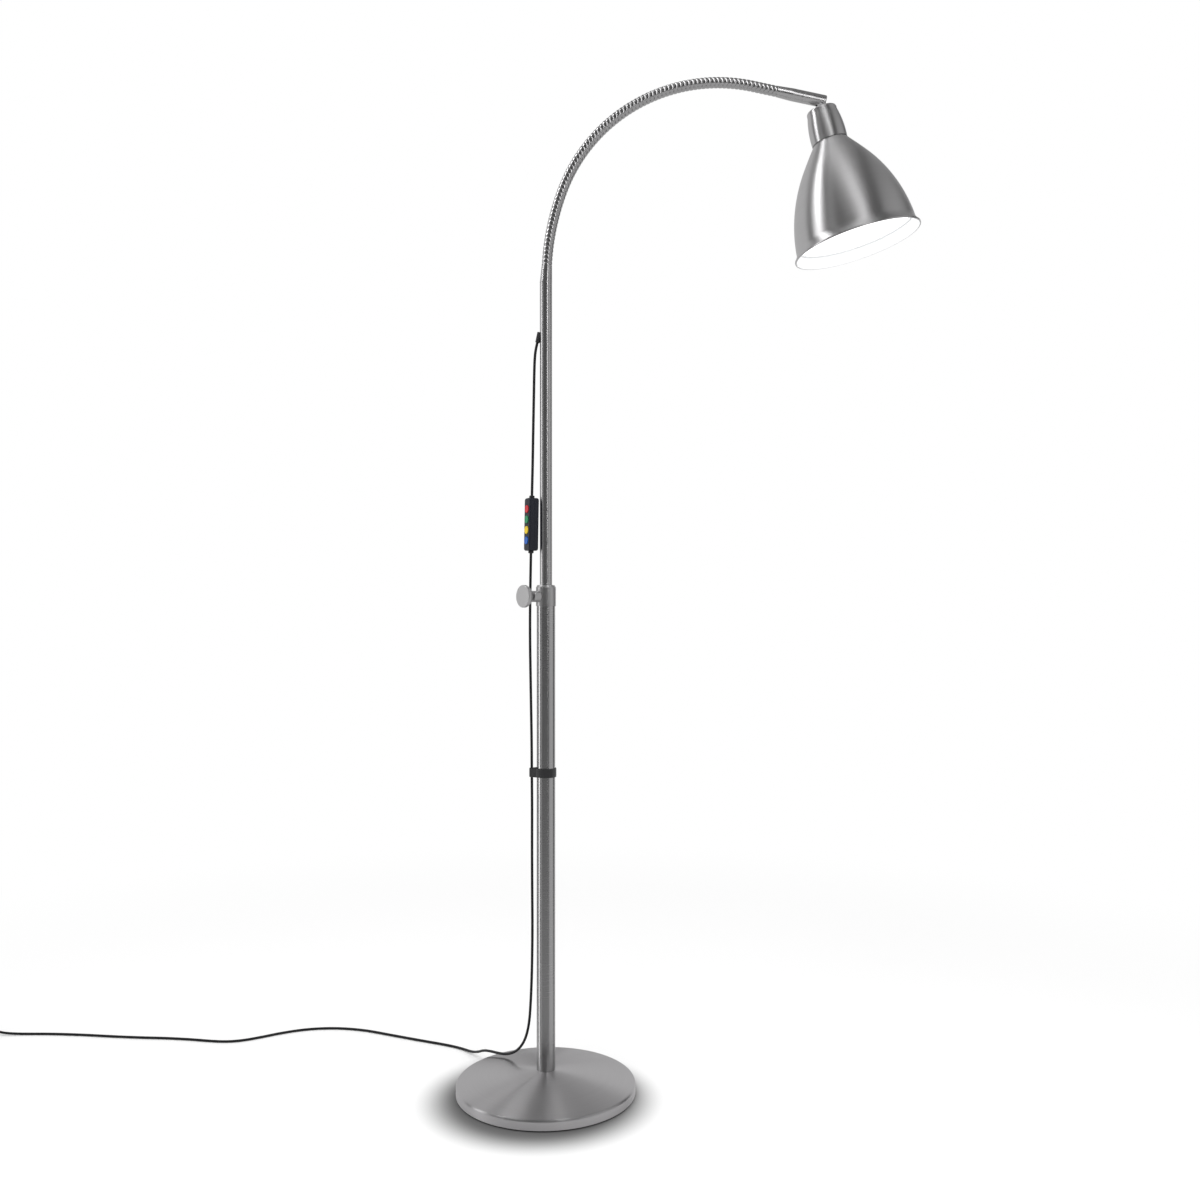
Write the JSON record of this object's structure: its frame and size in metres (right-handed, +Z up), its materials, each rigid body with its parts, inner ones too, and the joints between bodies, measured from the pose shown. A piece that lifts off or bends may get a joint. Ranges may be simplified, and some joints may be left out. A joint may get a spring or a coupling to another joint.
{
  "type": "gooseneck reading floor lamp",
  "caption": "Floor lamp with a round weighted base, height-adjustable mast, ribbed gooseneck arm, bell shade, corded four-button dimmer and plug-in adapter.",
  "frame": {"origin": "centre of the base, on the floor", "axes": "+Z up along the mast, +X the way the gooseneck reaches at rest, +Y away from the side that the picture shows"},
  "size_m": [1.481, 0.3515, 1.3611],
  "materials": {
    "floor_pad": "matt foam rubber",
    "iron_weight": "painted",
    "brushed_cover": "spun and brushed",
    "zinc": "zinc plated",
    "mast_steel": "brushed nickel",
    "cast_collar": "satin nickel",
    "nylon": "moulded",
    "switch_plastic": "fine texture",
    "circuit_board": "lacquered",
    "black_rubber": "moulded",
    "black_cord": "smooth sheath",
    "black_strap": "woven hook and loop",
    "adapter_plastic": "spark-eroded texture",
    "pin_brass": "nickel plated",
    "cast_knob": "satin nickel",
    "ferrule_steel": "brushed nickel",
    "gooseneck_steel": "nickel plated wire",
    "bright_screw": "polished",
    "spun_shade": "spun and brushed",
    "sink_aluminium": "die cast",
    "white_board": "white solder mask",
    "led_yellow": "phosphor",
    "opal_diffuser": "opal",
    "white_ring": "moulded",
    "button_red": "moulded",
    "button_green": "moulded",
    "button_yellow": "moulded",
    "button_blue": "moulded"
  },
  "bodies": {
    "base": {"base_pad": "floor_pad", "base_weight": "iron_weight", "base_cover": "brushed_cover", "base_washer": "zinc", "base_bolt": "zinc", "foot_plug": "zinc", "lower_tube": "mast_steel", "clamp_collar": "cast_collar", "collar_bush": "nylon", "switch_front_case": "switch_plastic", "switch_back_case": "switch_plastic", "switch_board": "circuit_board", "switch_cuffs": "black_rubber", "switch_screws": "zinc", "cord_upper": "black_cord", "cord_lower": "black_cord", "cord_strap": "black_strap", "adapter_relief": "black_rubber", "adapter_case": "adapter_plastic", "adapter_pins": "pin_brass"},
    "brake_shoe": {"brake_shoe": "nylon"},
    "clamp_knob": {"clamp_knob": "cast_knob", "clamp_screw": "zinc"},
    "mast_guide": {"guide_bush": "nylon"},
    "upper_mast": {"upper_tube": "mast_steel", "stop_ring": "zinc", "tube_plug": "nylon", "cable_grommet": "black_rubber", "lower_ferrule": "ferrule_steel", "gooseneck_01": "gooseneck_steel", "lamp_lead": "black_cord"},
    "neck_link_02": {"gooseneck_02": "gooseneck_steel"},
    "neck_link_03": {"gooseneck_03": "gooseneck_steel"},
    "neck_link_04": {"gooseneck_04": "gooseneck_steel"},
    "neck_link_05": {"gooseneck_05": "gooseneck_steel"},
    "neck_link_06": {"gooseneck_06": "gooseneck_steel"},
    "neck_link_07": {"gooseneck_07": "gooseneck_steel"},
    "neck_link_08": {"gooseneck_08": "gooseneck_steel"},
    "neck_link_09": {"gooseneck_09": "gooseneck_steel"},
    "head_arm": {"gooseneck_10": "gooseneck_steel", "upper_ferrule": "ferrule_steel", "head_tube": "ferrule_steel", "head_end_cap": "ferrule_steel", "pivot_screw": "bright_screw"},
    "head": {"head_stem": "bright_screw", "stem_nut": "zinc", "socket_cap": "spun_shade", "shade": "spun_shade", "heat_sink": "sink_aluminium", "led_board": "white_board", "led_chips": "led_yellow", "board_screws": "zinc", "led_diffuser": "opal_diffuser", "diffuser_ring": "white_ring"},
    "button_red": {"button_red": "button_red"},
    "button_green": {"button_green": "button_green"},
    "button_yellow": {"button_yellow": "button_yellow"},
    "button_blue": {"button_blue": "button_blue"}
  },
  "joints": [
    {"name": "brake_slide", "type": "slide", "parent": "base", "child": "brake_shoe", "axis": [-0.7771, -0.6293, 0], "range_m": [0, 0.001]},
    {"name": "knob_turn", "type": "hinge", "parent": "brake_shoe", "child": "clamp_knob", "pos_m": [0, 0, 0.6647], "axis": [-0.7771, -0.6293, 0], "range_deg": [0, 360]},
    {"name": "height_slide", "type": "slide", "parent": "base", "child": "mast_guide", "axis": [0, 0, 1], "range_m": [-0.15, 0.02], "deforming": ["cord_upper"]},
    {"name": "mast_swivel", "type": "hinge", "parent": "mast_guide", "child": "upper_mast", "pos_m": [0, 0, 0.54], "axis": [0, 0, 1], "range_deg": [-50, 50]},
    {"name": "gooseneck_bend", "type": "hinge", "parent": "upper_mast", "child": "neck_link_02", "pos_m": [0.0055, 0, 1.14739], "axis": [0, 1, 0], "range_deg": [-9, 5], "deforming": ["lamp_lead"]},
    {"name": "gooseneck_sway", "type": "hinge", "parent": "neck_link_02", "child": "neck_link_03", "pos_m": [0.01603, 0, 1.19142], "axis": [0.9547, 0, -0.2977], "range_deg": [-8, 8]},
    {"name": "bend_03", "type": "hinge", "parent": "neck_link_03", "child": "neck_link_04", "pos_m": [0.03286, 0, 1.23341], "axis": [0, 1, 0], "range_deg": [-9, 5]},
    {"name": "sway_04", "type": "hinge", "parent": "neck_link_04", "child": "neck_link_05", "pos_m": [0.05758, 0, 1.27128], "axis": [0.7776, 0, -0.6287], "range_deg": [-8, 8]},
    {"name": "bend_05", "type": "hinge", "parent": "neck_link_05", "child": "neck_link_06", "pos_m": [0.08944, 0, 1.30338], "axis": [0, 1, 0], "range_deg": [-9, 5]},
    {"name": "sway_06", "type": "hinge", "parent": "neck_link_06", "child": "neck_link_07", "pos_m": [0.12711, 0, 1.3284], "axis": [0.4659, 0, -0.8849], "range_deg": [-8, 8]},
    {"name": "bend_07", "type": "hinge", "parent": "neck_link_07", "child": "neck_link_08", "pos_m": [0.16905, 0, 1.3453], "axis": [0, 1, 0], "range_deg": [-9, 5]},
    {"name": "sway_08", "type": "hinge", "parent": "neck_link_08", "child": "neck_link_09", "pos_m": [0.21355, 0, 1.35339], "axis": [0.0783, 0, -0.9969], "range_deg": [-8, 8]},
    {"name": "bend_09", "type": "hinge", "parent": "neck_link_09", "child": "head_arm", "pos_m": [0.25876, 0, 1.35234], "axis": [0, 1, 0], "range_deg": [-9, 5]},
    {"name": "head_tilt", "type": "hinge", "parent": "head_arm", "child": "head", "pos_m": [0.36779, 0, 1.3228], "axis": [0, 1, 0], "range_deg": [-16, 32]},
    {"name": "press_red", "type": "slide", "parent": "base", "child": "button_red", "axis": [0.8828, 0.4695, -0.0154], "range_m": [0, 0.0008], "stiffness_N_per_m": 900, "springref_m": -0.0002},
    {"name": "press_green", "type": "slide", "parent": "base", "child": "button_green", "axis": [0.8828, 0.4695, -0.0154], "range_m": [0, 0.0008], "stiffness_N_per_m": 900, "springref_m": -0.0002},
    {"name": "press_yellow", "type": "slide", "parent": "base", "child": "button_yellow", "axis": [0.8828, 0.4695, -0.0154], "range_m": [0, 0.0008], "stiffness_N_per_m": 900, "springref_m": -0.0002},
    {"name": "press_blue", "type": "slide", "parent": "base", "child": "button_blue", "axis": [0.8828, 0.4695, -0.0154], "range_m": [0, 0.0008], "stiffness_N_per_m": 900, "springref_m": -0.0002}
  ],
  "couplings": [
    {"joint": "brake_slide", "follows": "knob_turn", "m_per_rad": 0.00015915},
    {"joint": "bend_03", "follows": "gooseneck_bend", "ratio": 1},
    {"joint": "sway_04", "follows": "gooseneck_sway", "ratio": 1},
    {"joint": "bend_05", "follows": "gooseneck_bend", "ratio": 1},
    {"joint": "sway_06", "follows": "gooseneck_sway", "ratio": 1},
    {"joint": "bend_07", "follows": "gooseneck_bend", "ratio": 1},
    {"joint": "sway_08", "follows": "gooseneck_sway", "ratio": 1},
    {"joint": "bend_09", "follows": "gooseneck_bend", "ratio": 1}
  ]
}
